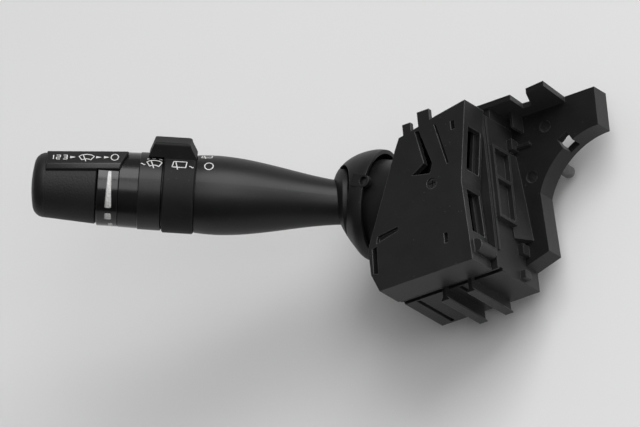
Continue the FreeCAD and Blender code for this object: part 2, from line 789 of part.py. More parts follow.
def base_housing():
    """Body of the housing: an open box that the cover's lip fits round."""
    box_walls = slab(body_outline, 0, 0, body_height)
    tongue_inset = shell_wall + seat_gap
    inner_inset = tongue_inset + tongue_wall
    tongue = wall_ring(cover_outline, tongue_inset, inner_inset,
                       body_height - ledge, cover_base + 2.6)
    body = box_walls.fuse(tongue)
    body = body.cut(slab(body_outline, shell_wall, -1, body_height - ledge))
    body = body.cut(slab(cover_outline, inner_inset, -1, cover_base + 4))
    low = box_bottom - rib_reach
    extras = []
    for x in (-58.0, -47.4):
        extras.append(box(x - rib_skin / 2, x + rib_skin / 2, low, box_bottom + 0.5,
                          1.0, body_height - 1))
        extras.append(prism([(x - 1.7, low - 0.4), (x + 1.7, low - 0.4),
                             (x + rib_skin / 2, low + 1.0), (x - rib_skin / 2, low + 1.0)],
                            1.0, body_height - 1))
    side = box_right - 0.5
    extras.append(box(side, box_right + 2.2, -22.3, -19.4, 8.8, 12.6))
    extras.append(box(side, box_right + 0.8, -16.0, 35.0, 26.0, 27.0))
    block = box(side, box_right + block_out, block_start, block_end_y, block_low, 26.5)
    pockets = [box(box_right + 0.4, box_right + 3, -2.3, 11.6, 16.2, 25.4),
               box(box_right + 0.4, box_right + 3, 12.8, 23.3, 16.2, 25.4)]
    extras.append(block.cut(pockets))
    body = body.fuse(extras)
    holes = []
    for x in (-70.3, -53.0):
        holes.append(box(x - groove_width / 2, x + groove_width / 2, box_bottom - 1,
                         box_bottom + 1.2, 1.0, 24.0))
    for x0, x1 in ((box_left - 1, -58.8), (-57.2, -48.2), (-46.6, box_right + 1)):
        holes.append(box(x0, x1, box_bottom - 0.5, box_bottom + 1.0, 24.8, 27.2))
    for y in lug_places:
        holes.append(box(box_right - shell_wall - 1, box_right + 1, y - seat_gap,
                         y + lug_width + seat_gap, lug_low - seat_gap,
                         lug_high + seat_gap))
    holes.append(placed(rod(collar_r + seat_gap, Vector(0, 0, 0),
                            Vector(hood_reach + 8, 0, 0)), inner_frame))
    flange_start = hood_reach + body_inset + shell_wall
    holes.append(placed(rod(collar_r + 1.2 + seat_gap, Vector(flange_start, 0, 0),
                            Vector(hood_reach + 8, 0, 0)), inner_frame))
    return body.cut(holes).removeSplitter()


def mounting_bracket():
    """Arched plate beside the box, hooked into its side wall by two lugs."""
    plate, holes = mounting_plate()
    def section(y, top, foot):
        points = [(box_right - 0.5, plate_height - 0.5), (box_right - 0.5, top),
                  (box_right + 0.5, top), (foot, plate_height - 0.5)]
        corners = [Vector(x, y, z) for x, z in points]
        return Part.makePolygon(corners + corners[:1])

    ramp = Part.makeLoft([section(-7.5, 14.6, box_right + 4.6),
                          section(26.0, 19.0, box_right + 0.9)], True, True)
    stand = box(-31.0, -30.0, 34.0, arm_end_y - 1, plate_height - 1, 15.0)
    rest = box(-33.0, -27.5, 28.5, 29.4, plate_height - 1, plate_height + 1.4)
    plate = plate.fuse([ramp, stand, rest])
    notch = box(column_r - 4.0, column_r + 4.4, -notch_half, notch_half,
                notch_floor, plate_height + 1)
    notch.rotate(Vector(0, 0, 0), Vector(0, 0, 1), notch_angle)
    block_room = box(box_right - 1, box_right + block_out + seat_gap, block_start - seat_gap,
                     block_end_y + seat_gap, block_low - seat_gap, body_height)
    body_room = slab(body_outline, -seat_gap, -1, body_height + 5)
    plate = plate.cut(holes + [notch, block_room, body_room])
    lugs = []
    for y in lug_places:
        lugs.append(box(box_right - shell_wall - 0.6, box_right + 0.4, y, y + lug_width,
                        lug_low, lug_high))
        lugs.append(box(box_right + seat_gap, box_right + 2.0, y, y + lug_width,
                        plate_height - 1, lug_high))
    return plate.fuse(lugs).removeSplitter()


def rear_cover():
    """Plate that closes the back of the housing, with feet for the circuit board."""
    plate = slab(body_outline, shell_wall + seat_gap, 0, rear_skin)
    opening = box(socket_left - seat_gap, socket_right + seat_gap,
                  socket_bottom - seat_gap, socket_top + seat_gap, -1, rear_skin + 1)
    feet = [cylinder(1.6, rear_skin, circuit_height, x, y)
            for x, y in ((-72.8, -18.4), (-42.0, -16.0), (-42.0, 28.0), (-58.0, 26.0))]
    return plate.cut(opening).fuse(feet)


def connector_shroud():
    """Socket for the vehicle's plug, with a slotted floor for the terminals."""
    body = box(socket_left, socket_right, socket_bottom, socket_top,
               rear_skin - socket_depth - 2, circuit_height)
    cavity = box(socket_left + socket_wall, socket_right - socket_wall,
                 socket_bottom + socket_wall, socket_top - socket_wall,
                 rear_skin - socket_depth - 3, -1.0)
    key = box(-60.5, -57.5, socket_bottom - 1, socket_bottom + socket_wall + 1,
              rear_skin - socket_depth - 3, -3.0)
    bores = [box(x - pin_width / 2 - 0.03, x + pin_width / 2 + 0.03,
                 y - pin_width / 2 - 0.03, y + pin_width / 2 + 0.03, -2,
                 circuit_height + 1) for x, y in terminal_places()]
    return body.cut([cavity, key] + bores)


def terminal_places():
    """Centres of the terminals in rows across the socket."""
    centre_x = (socket_left + socket_right) / 2
    centre_y = (socket_bottom + socket_top) / 2
    places = []
    for row in range(pin_rows):
        for column in range(pin_columns):
            places.append((centre_x + (column - (pin_columns - 1) / 2) * pin_pitch,
                           centre_y + (row - (pin_rows - 1) / 2) * 2 * pin_pitch))
    return places


def terminal_pins():
    """Square terminals from the circuit board down into the socket."""
    half = pin_width / 2
    pins = [box(x - half, x + half, y - half, y + half, -6.5,
                circuit_height + circuit_skin + 0.5) for x, y in terminal_places()]
    return Part.makeCompound(pins)


def circuit_board():
    """Board on the feet of the rear cover."""
    board = slab(body_outline, shell_wall + 0.7, circuit_height,
                 circuit_height + circuit_skin)
    notch = placed(box(0, hood_reach + 4.4, -12, 12, -hood_z, 0), inner_frame)
    bores = [box(x - pin_width / 2 - 0.03, x + pin_width / 2 + 0.03,
                 y - pin_width / 2 - 0.03, y + pin_width / 2 + 0.03,
                 circuit_height - 1, circuit_height + 4) for x, y in terminal_places()]
    return board.cut([notch] + bores)


def inner_z(height):
    """Height in the inner frame of a height above the mounting plane."""
    return height - hood_z


def board_top():
    """Top of the circuit board in the inner frame."""
    return inner_z(circuit_height + circuit_skin)


def fixed_contacts():
    """Brass tracks on the board under the swing slider."""
    tracks = []
    for start in (-8.5, -2.6, 3.3):
        tracks.append(placed(box(tongue_station - 2, tongue_station + 2, start, start + 5.2,
                                 board_top(), board_top() + 0.2), inner_frame))
    return Part.makeCompound(tracks)


def swing_slider():
    """Slider that the gimbal ring's tongue pushes across the board."""
    half = 2.4
    body = box(tongue_station - half, tongue_station + half, -slider_half_width,
               slider_half_width, slider_low, slider_high)
    reach = 0.5
    width = tongue_r + 0.08
    slot = box(tongue_station - reach, tongue_station + reach, -width, width,
               slider_low - 1, slider_high + 1)
    slot = slot.fuse([cylinder(width, slider_low - 1, slider_high + 1,
                               tongue_station + side * reach, 0) for side in (-1, 1)])
    return body.cut(slot)


def slider_contact():
    """Brass bridges under the swing slider."""
    bridges = []
    for start in (-7.5, 3.0):
        bridges.append(placed(box(tongue_station - 1.2, tongue_station + 1.2, start,
                                  start + 4.5, slider_low - 0.25, slider_low),
                              inner_frame))
    return Part.makeCompound(bridges)


def pull_slot():
    """Half width and half height of the pull slider's slot round the tail."""
    reach = pull_plate_start + pull_plate_skin - pivot_in
    width = tail_half_width + reach * math.sin(math.radians(swing_limit)) + free_gap + 0.25
    return width, tail_half_height + 0.45


def pull_slider():
    """Plate round the tail that moves along the column when the lever is pulled."""
    half_width, half_height = pull_slot()
    rim = 3.0
    plate = box(pull_plate_start, pull_plate_start + pull_plate_skin, -pull_plate_half,
                pull_plate_half, -half_height - rim, half_height + rim)
    slot = box(pull_plate_start - 1, pull_plate_start + pull_plate_skin + 1, -half_width,
               half_width, -half_height, half_height)
    return plate.cut(slot)


def pull_contact():
    """Brass foot under the pull slider, over the washer contacts."""
    low = -pull_slot()[1] - 3.0
    return box(pull_plate_start + 0.4, pull_plate_start + pull_plate_skin - 0.4, -4.0, 4.0,
               low - 0.3, low)


def pull_drop():
    """Travel of the pull slider at the lever's pull limit."""
    station = pull_plate_start + pull_plate_skin / 2 - pivot_in
    return station * math.radians(pull_limit)


def washer_contacts():
    """Two brass leaves that the pull slider closes on at the end of its travel."""
    leaves = []
    top = -pull_slot()[1] - 3.3 - pull_drop() - 0.2
    for side in (-1, 1):
        foot = placed(box(pull_plate_start - 0.5, pull_plate_start + 5, side * 2.6 - 1,
                          side * 2.6 + 1, board_top(), board_top() + 0.25), inner_frame)
        post = placed(box(pull_plate_start + 4.7, pull_plate_start + 5, side * 2.6 - 1,
                          side * 2.6 + 1, board_top(), top), inner_frame)
        leaf = placed(box(pull_plate_start + 0.5, pull_plate_start + 5, side * 2.6 - 1,
                          side * 2.6 + 1, top - 0.25, top), inner_frame)
        leaves.append(foot.fuse([post, leaf]).removeSplitter())
    return Part.makeCompound(leaves)


def detent_radius():
    """Distance from the pivot to the plunger's nose, with its running gap."""
    nose = Vector(plunger_tip, 0, 0)
    return (nose - pivot).Length + 0.2


block_end = 40.6


def detent_block():
    """Hard block with a hollow round face that the plunger runs on."""
    body = box(plunger_tip - 2.4, block_end, -8.6, 8.6, -8.5, 6.0)
    return body.cut(Part.makeSphere(detent_radius(), pivot))


def mechanism_frame():
    """Inner frame that guides the sliders and holds the detent block."""
    low = board_top()
    high = inner_z(32.0)
    cheek = 2.7
    swing_travel = (tongue_station - pivot_in) * math.radians(swing_limit)
    slide_room = slider_half_width + swing_travel + free_gap
    parts = []
    for side in (-1, 1):
        y0, y1 = sorted((side * (frame_half - cheek), side * frame_half))
        parts.append(box(frame_start, frame_end, y0, y1, low, high))
        y0, y1 = sorted((side * (pull_plate_half - 1.0), side * frame_half))
        parts.append(box(frame_start, pull_plate_start + pull_plate_skin + 2, y0, y1, low, high))
        y0, y1 = sorted((side * slide_room, side * frame_half))
        parts.append(box(tongue_station - 3.3, frame_start + 1, y0, y1, low,
                         slider_high + 0.3))
    parts.append(box(tongue_station - 3.3, tongue_station - 2.4 - 0.15, -frame_half,
                     frame_half, low, slider_high - 0.8))
    parts.append(box(tongue_station + 2.4 + 0.15, frame_start + 1.2, -frame_half,
                     frame_half, low, slider_high - 0.8))
    parts.append(box(block_end, frame_end, -frame_half, frame_half, low, high))
    parts.append(box(block_end - 6, frame_end, -frame_half, frame_half, high - 2, high))
    parts.append(box(block_end - 6, frame_end, -8.6, 8.6, -11.0, -8.5))
    parts.append(cylinder(3.2, high - 1, inner_z(cover_top - cover_skin), *screw_place()))
    frame = parts[0].fuse(parts[1:])
    groove = box(pull_plate_start - 0.12, pull_plate_start + pull_plate_skin + 0.12,
                 -pull_plate_half - 0.12, pull_plate_half + 0.12,
                 low + 3.0, high - 1)
    screw_bore = cylinder(1.15, high - 1, inner_z(cover_top), *screw_place())
    pin_room = box(tongue_station + 1, block_end - 3, -frame_half - 1, -8, low - 1, low + 0.9)
    return frame.cut([groove, screw_bore, pin_room]).removeSplitter()


def screw_place():
    """Cover screw's place in the inner frame."""
    place = inner_frame.inverse().multVec(Vector(screw_x, screw_y, hood_z))
    return place.x, place.y


screw_x = -50.3
screw_y = 9.9
screw_head_r = 1.9


def cover_screw():
    """Self-tapping screw with a cross recess through the top cover."""
    top = cover_top - 0.4
    head = cylinder(screw_head_r, top - 1.4, top, screw_x, screw_y)
    shank = cylinder(1.1, top - 9.0, top - 1.4, screw_x, screw_y)
    slots = [box(screw_x - 1.2, screw_x + 1.2, screw_y - 0.2, screw_y + 0.2, top - 0.8, top + 1),
             box(screw_x - 0.2, screw_x + 0.2, screw_y - 1.2, screw_y + 1.2, top - 0.8, top + 1)]
    return head.fuse(shank).cut(slots)


def top_cover():
    """Flat cover with a lip over the body, a latch tongue, slots and two hooks."""
    skin_base = cover_top - cover_skin
    plate = slab(cover_outline, 0, skin_base, cover_top)
    lip = wall_ring(cover_outline, 0, shell_wall, cover_base, skin_base + 0.5)
    hooks = [box(-53.3, -48.4, 31.0, 38.2, cover_top - 1.8, cover_top),
             box(-59.7, -56.3, 29.5, 35.4, cover_top - 1.8, cover_top)]
    boss = cylinder(2.6, cover_base, skin_base, box_right - 1.9, -17.5)
    cover = plate.fuse([lip, boss] + hooks)
    low = skin_base - 1
    high = cover_top + 1
    cutters = [
        box(-40.3, -38.8, 27.3, 30.6, low, high),
        box(-47.7, -46.2, -14.1, -10.3, low, high),
        prism([(-54.9, 31.2), (-53.3, 31.2), (-49.3, 17.2), (-50.6, 13.8), (-58.0, 15.3),
               (-52.6, 18.4)], low, high),
        prism([(-47.0, 31.5), (-46.2, 31.3), (-42.6, 15.4), (-43.5, 15.2)], low, high),
        prism([(-75.0, -5.6), (-66.0, -3.4), (-65.7, -1.8), (-74.2, -3.0)],
              cover_top - 1.4, high),
        prism([(-76.9, -7.2), (-75.0, -6.4), (-75.6, -17.0), (-77.4, -16.4)],
              cover_top - 7.0, high),
        cylinder(screw_head_r + 0.15, cover_top - 1.8, high, screw_x, screw_y),
        cylinder(1.25, low, high, screw_x, screw_y),
        box(box_right - 6, box_right + 3, 12.2, 28.0, cover_base + 1.4, skin_base - 0.4),
        box(box_right - 6, box_right + 3, -11.5, 4.8, cover_base + 1.4, skin_base - 0.4),
        placed(rod(collar_r + seat_gap, Vector(0, 0, 0), Vector(hood_reach + 6, 0, 0)),
               inner_frame),
    ]
    return cover.cut(cutters).removeSplitter()


def locating_peg():
    """Peg behind the plate that finds its hole in the column bracket."""
    peg = cylinder(peg_r, -peg_reach, -peg_relief, peg_x, peg_y)
    peg = bevelled(peg, 0.6, lambda edge: edge.BoundBox.ZMax < -peg_reach + 0.01)
    return peg.fuse(cylinder(peg_tenon_r, -0.8, plate_height - plate_skin, peg_x, peg_y))


# Every piece with the frame that it is modelled in

part_frame = Placement()
pieces = {
    "base_housing": (base_housing, part_frame),
    "mounting_bracket": (mounting_bracket, part_frame),
    "top_cover": (top_cover, part_frame),
    "rear_cover": (rear_cover, part_frame),
    "connector_shroud": (connector_shroud, part_frame),
    "terminal_pins": (terminal_pins, part_frame),
    "circuit_board": (circuit_board, part_frame),
    "fixed_contacts": (fixed_contacts, part_frame),
    "washer_contacts": (washer_contacts, part_frame),
    "mechanism_frame": (mechanism_frame, inner_frame),
    "detent_block": (detent_block, inner_frame),
    "cover_screw": (cover_screw, part_frame),
    "locating_peg": (locating_peg, part_frame),
    "pivot_collar": (pivot_collar, inner_frame),
    "pivot_hood": (pivot_hood, part_frame),
    "root_cap": (root_cap, part_frame),
    "gimbal_ring": (gimbal_ring, inner_frame),
    "swing_pins": (swing_pins, inner_frame),
    "pull_pin": (pull_pin, inner_frame),
    "lever_root": (lever_root, part_frame),
    "detent_plunger": (detent_plunger, inner_frame),
    "plunger_spring": (plunger_spring, inner_frame),
    "swing_slider": (swing_slider, inner_frame),
    "slider_contact": (slider_contact, part_frame),
    "pull_slider": (pull_slider, inner_frame),
    "pull_contact": (pull_contact, inner_frame),
    "lever_stem": (lever_stem, lever_frame),
    "lever_core": (lever_core, lever_frame),
    "rear_wiper_ring": (rear_wiper_ring, lever_frame),
    "ring_carrier": (ring_carrier, lever_frame),
    "ring_contact": (ring_contact, lever_frame),
    "lever_sleeve": (lever_sleeve, lever_frame),
    "delay_scale_ring": (delay_scale_ring, lever_frame),
    "lever_board": (lever_board, lever_frame),
    "lever_lead": (lever_lead, lever_frame),
    "detent_ball": (detent_ball, lever_frame),
    "detent_ball_spring": (detent_ball_spring, lever_frame),
    "wiper_knob": (wiper_knob, lever_frame),
    "knob_end_cap": (knob_end_cap, lever_frame),
    "knob_spindle": (knob_spindle, lever_frame),
    "knob_contact": (knob_contact, lever_frame),
    "knob_legend_plate": (knob_legend_plate, lever_frame),
}

os.makedirs("parts", exist_ok=True)
for name, (make, frame) in pieces.items():
    shape = placed(make(), frame)
    shape.exportStep("parts/" + name + ".step")
    print(name, len(shape.Solids), shape.isValid(), round(shape.Volume, 1))
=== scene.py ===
"""Studio picture of a stalk switch, dressed around its construction model."""
import math

import bpy
from mathutils import Matrix, Vector


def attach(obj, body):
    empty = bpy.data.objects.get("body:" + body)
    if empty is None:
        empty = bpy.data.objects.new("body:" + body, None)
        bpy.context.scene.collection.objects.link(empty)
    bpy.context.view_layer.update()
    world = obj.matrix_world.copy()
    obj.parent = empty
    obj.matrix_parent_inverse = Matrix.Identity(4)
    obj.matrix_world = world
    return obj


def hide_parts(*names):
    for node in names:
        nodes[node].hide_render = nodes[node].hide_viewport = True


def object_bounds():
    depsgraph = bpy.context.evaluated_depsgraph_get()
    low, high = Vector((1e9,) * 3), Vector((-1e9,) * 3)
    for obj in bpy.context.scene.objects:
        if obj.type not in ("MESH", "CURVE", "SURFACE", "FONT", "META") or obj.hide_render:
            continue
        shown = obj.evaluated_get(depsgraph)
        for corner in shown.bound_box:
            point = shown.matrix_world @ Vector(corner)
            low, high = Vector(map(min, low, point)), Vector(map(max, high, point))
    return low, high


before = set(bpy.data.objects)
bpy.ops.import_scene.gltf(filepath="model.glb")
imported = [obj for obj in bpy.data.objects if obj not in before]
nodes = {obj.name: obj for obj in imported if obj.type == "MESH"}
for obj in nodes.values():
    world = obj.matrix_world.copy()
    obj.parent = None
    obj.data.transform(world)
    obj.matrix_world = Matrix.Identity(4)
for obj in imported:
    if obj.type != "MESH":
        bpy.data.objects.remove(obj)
cad_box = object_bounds()


# Camera: a long lens on the driver's side of the housing, with the lever level in
# the picture. It stands far off, so that near and far parts keep one scale.
VIEW_RIGHT = Vector((0.8423, -0.0951, -0.5308)).normalized()
VIEW_UP = Vector((0.2950, 0.9050, 0.3065)).normalized()
VIEW_CENTRE = Vector((-0.0890, 0.0064, 0.0542))
VIEW_DISTANCE = 6.0
LENS = 964.0
SENSOR_WIDTH = 36.0
NEAREST, FARTHEST = 0.05, 40.0

towards = VIEW_RIGHT.cross(VIEW_UP).normalized()
camera_data = bpy.data.cameras.new("camera")
camera_data.lens = LENS
camera_data.sensor_width = SENSOR_WIDTH
camera_data.clip_start = NEAREST
camera_data.clip_end = FARTHEST
camera = bpy.data.objects.new("camera", camera_data)
bpy.context.scene.collection.objects.link(camera)
pose = Matrix((VIEW_RIGHT, towards.cross(VIEW_RIGHT), towards)).transposed().to_4x4()
pose.translation = VIEW_CENTRE + towards * VIEW_DISTANCE
camera.matrix_world = pose
bpy.context.scene.camera = camera
bpy.context.scene.view_settings.view_transform = "Standard"


# Table: one wide sheet of pale paper that the switch lies on, matt and faintly
# uneven, so that it takes soft shadows.
TABLE_SIZE = 9.0
TABLE_GAP = 0.0002
PAPER_GREY = 0.72
PAPER_SPREAD = 0.02
PAPER_CLOUDS = 6.0

bpy.ops.object.select_all(action="DESELECT")
bpy.ops.mesh.primitive_plane_add(size=TABLE_SIZE, location=(0, 0, cad_box[0][2] - TABLE_GAP))
table = bpy.context.object
table.name = "table"
paper = bpy.data.materials.new("pale_paper")
paper.use_nodes = True
paper_tree = paper.node_tree
paper_shader = paper_tree.nodes["Principled BSDF"]
paper_shader.inputs["Roughness"].default_value = 0.9
paper_shader.inputs["Specular IOR Level"].default_value = 0.1
paper_place = paper_tree.nodes.new("ShaderNodeTexCoord")
paper_cloud = paper_tree.nodes.new("ShaderNodeTexNoise")
paper_cloud.inputs["Scale"].default_value = PAPER_CLOUDS
paper_tree.links.new(paper_place.outputs["Object"], paper_cloud.inputs["Vector"])
paper_ramp = paper_tree.nodes.new("ShaderNodeValToRGB")
paper_ramp.color_ramp.elements[0].color = (PAPER_GREY - PAPER_SPREAD,) * 3 + (1,)
paper_ramp.color_ramp.elements[1].color = (PAPER_GREY + PAPER_SPREAD,) * 3 + (1,)
paper_tree.links.new(paper_cloud.outputs["Fac"], paper_ramp.inputs["Fac"])
paper_tree.links.new(paper_ramp.outputs["Color"], paper_shader.inputs["Base Color"])
table.data.materials.append(paper)


# Light: a soft panel above the camera, which draws the long streak on the lever, two
# more at the right and behind, and a room that is dim on the viewer's side.
KEY_TURN = 13.0
KEY_DISTANCE = 3.0
KEY_SIZE = 1.5
KEY_POWER = 23.0
SIDE_PLACE = towards * 1.4 + VIEW_RIGHT * 2.1 + VIEW_UP * 1.5
SIDE_SIZE = 1.6
SIDE_POWER = 26.0
BACK_PLACE = Vector((1.9, 1.5, 2.2))
BACK_SIZE = 2.4
BACK_POWER = 92.0
ROOM_WAY = Vector((0.2, 0.5, 0.84)).normalized()
ROOM_DIM = 0.08
ROOM_BRIGHT = 0.34
ROOM_DIM_SIDE, ROOM_BRIGHT_SIDE = -0.2, 0.9


def soft_panel(name, offset, size, power):
    """Square lamp that looks at the middle of the switch from an offset."""
    light = bpy.data.lights.new(name, "AREA")
    light.size = size
    light.energy = power
    lamp = bpy.data.objects.new(name, light)
    bpy.context.scene.collection.objects.link(lamp)
    lamp.location = VIEW_CENTRE + offset
    lamp.rotation_euler = (-offset).to_track_quat("-Z", "Y").to_euler()


key_turn = math.radians(KEY_TURN)
key_way = towards * math.cos(key_turn) + VIEW_UP * math.sin(key_turn)
soft_panel("key_panel", key_way * KEY_DISTANCE, KEY_SIZE, KEY_POWER)
soft_panel("side_panel", SIDE_PLACE, SIDE_SIZE, SIDE_POWER)
soft_panel("back_panel", BACK_PLACE, BACK_SIZE, BACK_POWER)

room = bpy.data.worlds.new("room")
room.use_nodes = True
room_tree = room.node_tree
room_place = room_tree.nodes.new("ShaderNodeTexCoord")
room_side = room_tree.nodes.new("ShaderNodeVectorMath")
room_side.operation = "DOT_PRODUCT"
room_side.inputs[1].default_value = ROOM_WAY
room_range = room_tree.nodes.new("ShaderNodeMapRange")
room_range.inputs["From Min"].default_value = ROOM_DIM_SIDE
room_range.inputs["From Max"].default_value = ROOM_BRIGHT_SIDE
room_range.inputs["To Min"].default_value = ROOM_DIM
room_range.inputs["To Max"].default_value = ROOM_BRIGHT
room_tree.links.new(room_place.outputs["Generated"], room_side.inputs[0])
room_tree.links.new(room_side.outputs["Value"], room_range.inputs["Value"])
room_back = room_tree.nodes["Background"]
room_back.inputs["Color"].default_value = (1, 1, 1, 1)
room_tree.links.new(room_range.outputs["Result"], room_back.inputs["Strength"])
bpy.context.scene.world = room


# Housing box, its back cover and the socket shell: black glass-filled nylon straight
# from the mould, matt, with a fine grain and edges painted pale, partly as handling wear and
# partly as painted highlight.
NYLON_GREY = 0.006
NYLON_ROUGH = 0.47
FINE_GRAIN = 2600
CLOUD_SCALE = 110.0
SHINE_SPREAD = (-0.05, 0.07)
FLAT_EDGE, SHARP_EDGE = 0.995, 0.86
MOTE_SCALE = 420.0
MOTE_EDGE, MOTE_CORE = 0.055, 0.03
MOTE_COLOUR = (0.09, 0.09, 0.085, 1)
GRAIN_DEPTH = 0.0002


def moulded(name, grey, rough, grain, grain_size, specular=0.3, edge_wear_and_highlight=0.03, edge=0.0003,
            bloom=0.0):
    """Black moulding: mottled tone, uneven shine, fine grain, edges painted pale as wear and
    painted highlight.
    """
    material = bpy.data.materials.new(name)
    material.use_nodes = True
    tree = material.node_tree
    link = tree.links.new
    shader = tree.nodes["Principled BSDF"]
    shader.inputs["Specular IOR Level"].default_value = specular
    shader.inputs["Sheen Weight"].default_value = bloom
    shader.inputs["Sheen Roughness"].default_value = 0.35
    place = tree.nodes.new("ShaderNodeTexCoord")
    broad = tree.nodes.new("ShaderNodeTexNoise")
    broad.inputs["Scale"].default_value = CLOUD_SCALE
    broad.inputs["Detail"].default_value = 5.0
    fine = tree.nodes.new("ShaderNodeTexNoise")
    fine.inputs["Scale"].default_value = grain_size
    fine.inputs["Detail"].default_value = 3.0
    link(place.outputs["Object"], broad.inputs["Vector"])
    link(place.outputs["Object"], fine.inputs["Vector"])
    tone = tree.nodes.new("ShaderNodeValToRGB")
    tone.color_ramp.elements[0].position = 0.3
    tone.color_ramp.elements[1].position = 0.75
    tone.color_ramp.elements[0].color = (grey * 0.8, grey * 0.8, grey * 0.83, 1)
    tone.color_ramp.elements[1].color = (grey * 1.25, grey * 1.25, grey * 1.28, 1)
    link(broad.outputs["Fac"], tone.inputs["Fac"])
    shine = tree.nodes.new("ShaderNodeMapRange")
    shine.inputs["To Min"].default_value = rough + SHINE_SPREAD[0]
    shine.inputs["To Max"].default_value = rough + SHINE_SPREAD[1]
    link(broad.outputs["Fac"], shine.inputs["Value"])
    link(shine.outputs["Result"], shader.inputs["Roughness"])
    # Edges are painted paler than the faces: partly handling wear, partly a painted highlight
    # along the rounded edges.
    soft = tree.nodes.new("ShaderNodeBevel")
    soft.samples = 4
    soft.inputs["Radius"].default_value = edge
    surface = tree.nodes.new("ShaderNodeNewGeometry")
    turn = tree.nodes.new("ShaderNodeVectorMath")
    turn.operation = "DOT_PRODUCT"
    link(soft.outputs["Normal"], turn.inputs[0])
    link(surface.outputs["Normal"], turn.inputs[1])
    wear_and_highlight_mask = tree.nodes.new("ShaderNodeMapRange")
    wear_and_highlight_mask.inputs["From Min"].default_value = FLAT_EDGE
    wear_and_highlight_mask.inputs["From Max"].default_value = SHARP_EDGE
    link(turn.outputs["Value"], wear_and_highlight_mask.inputs["Value"])
    wear_and_highlight_patch = tree.nodes.new("ShaderNodeMath")
    wear_and_highlight_patch.operation = "MULTIPLY"
    link(wear_and_highlight_mask.outputs["Result"], wear_and_highlight_patch.inputs[0])
    link(broad.outputs["Fac"], wear_and_highlight_patch.inputs[1])
    blend = tree.nodes.new("ShaderNodeMix")
    blend.data_type = "RGBA"
    blend.inputs["B"].default_value = (edge_wear_and_highlight, edge_wear_and_highlight, edge_wear_and_highlight, 1)
    link(wear_and_highlight_patch.outputs["Value"], blend.inputs["Factor"])
    link(tone.outputs["Color"], blend.inputs["A"])
    motes = tree.nodes.new("ShaderNodeTexVoronoi")
    motes.inputs["Scale"].default_value = MOTE_SCALE
    link(place.outputs["Object"], motes.inputs["Vector"])
    speck = tree.nodes.new("ShaderNodeMapRange")
    speck.inputs["From Min"].default_value = MOTE_EDGE
    speck.inputs["From Max"].default_value = MOTE_CORE
    link(motes.outputs["Distance"], speck.inputs["Value"])
    dusty = tree.nodes.new("ShaderNodeMix")
    dusty.data_type = "RGBA"
    dusty.inputs["B"].default_value = MOTE_COLOUR
    link(speck.outputs["Result"], dusty.inputs["Factor"])
    link(blend.outputs["Result"], dusty.inputs["A"])
    link(dusty.outputs["Result"], shader.inputs["Base Color"])
    bump = tree.nodes.new("ShaderNodeBump")
    bump.inputs["Strength"].default_value = grain
    bump.inputs["Distance"].default_value = GRAIN_DEPTH
    link(fine.outputs["Fac"], bump.inputs["Height"])
    link(soft.outputs["Normal"], bump.inputs["Normal"])
    link(bump.outputs["Normal"], shader.inputs["Normal"])
    return material


def finish_nodes(names, material):
    """Gives carried-over nodes their material."""
    for name in names:
        part = nodes[name]
        part.data.materials.clear()
        part.data.materials.append(material)


nylon_black = moulded("nylon_black", grey=NYLON_GREY, rough=NYLON_ROUGH, grain=0.3,
                      grain_size=FINE_GRAIN, bloom=0.15)
finish_nodes(("base_housing", "rear_cover", "connector_shroud"), nylon_black)


# Mounting bracket: the arched plate that straddles the steering column, moulded in the
# same nylon with lower shine, its colour painted darker all over as shade of the deep inside of
# its open ribs.
bracket_black_painted_shade = moulded("bracket_black_painted_shade", grey=0.0035, rough=0.45, grain=0.35, grain_size=2200,
                        specular=0.25, edge_wear_and_highlight=0.05, bloom=0.2)
finish_nodes(("mounting_bracket",), bracket_black_painted_shade)


# Top cover: a smooth satin moulding that snaps on the box and is held by one screw.
# Its flat face is the largest plain surface, and its edges are painted wider and paler, partly
# as handling wear and partly as painted highlight.
cover_black = moulded("cover_black", grey=0.006, rough=0.42, grain=0.15, grain_size=1800,
                      specular=0.35, edge_wear_and_highlight=0.12, edge=0.00045, bloom=0.08)
finish_nodes(("top_cover",), cover_black)


# Collar, hood and root cap: the turned socket that the lever swings in. The hood is
# duller than the collar, and the cap on the lever's root is the darkest.
collar_black = moulded("collar_black", grey=0.0045, rough=0.42, grain=0.25, grain_size=2400)
hood_black = moulded("hood_black", grey=0.006, rough=0.44, grain=0.2, grain_size=2400,
                     edge_wear_and_highlight=0.05, edge=0.0004)
root_black = moulded("root_black", grey=0.005, rough=0.5, grain=0.3, grain_size=2400)
finish_nodes(("pivot_collar",), collar_black)
finish_nodes(("pivot_hood",), hood_black)
finish_nodes(("root_cap", "lever_root", "gimbal_ring"), root_black)


# Lever arm: satin black, polished by fingers. The moulding of the ring next to it is
# matt, with the fine scratches of use along the lever.
LEVER_TURN = (0.0, math.radians(31.4), math.radians(-11.1))
SCRATCH_STRETCH = (1 / 60, 1 / 2600, 1 / 2600)
SCRATCH_START, SCRATCH_FULL = 0.72, 0.8
SCRATCH_DEPTH = 0.0001


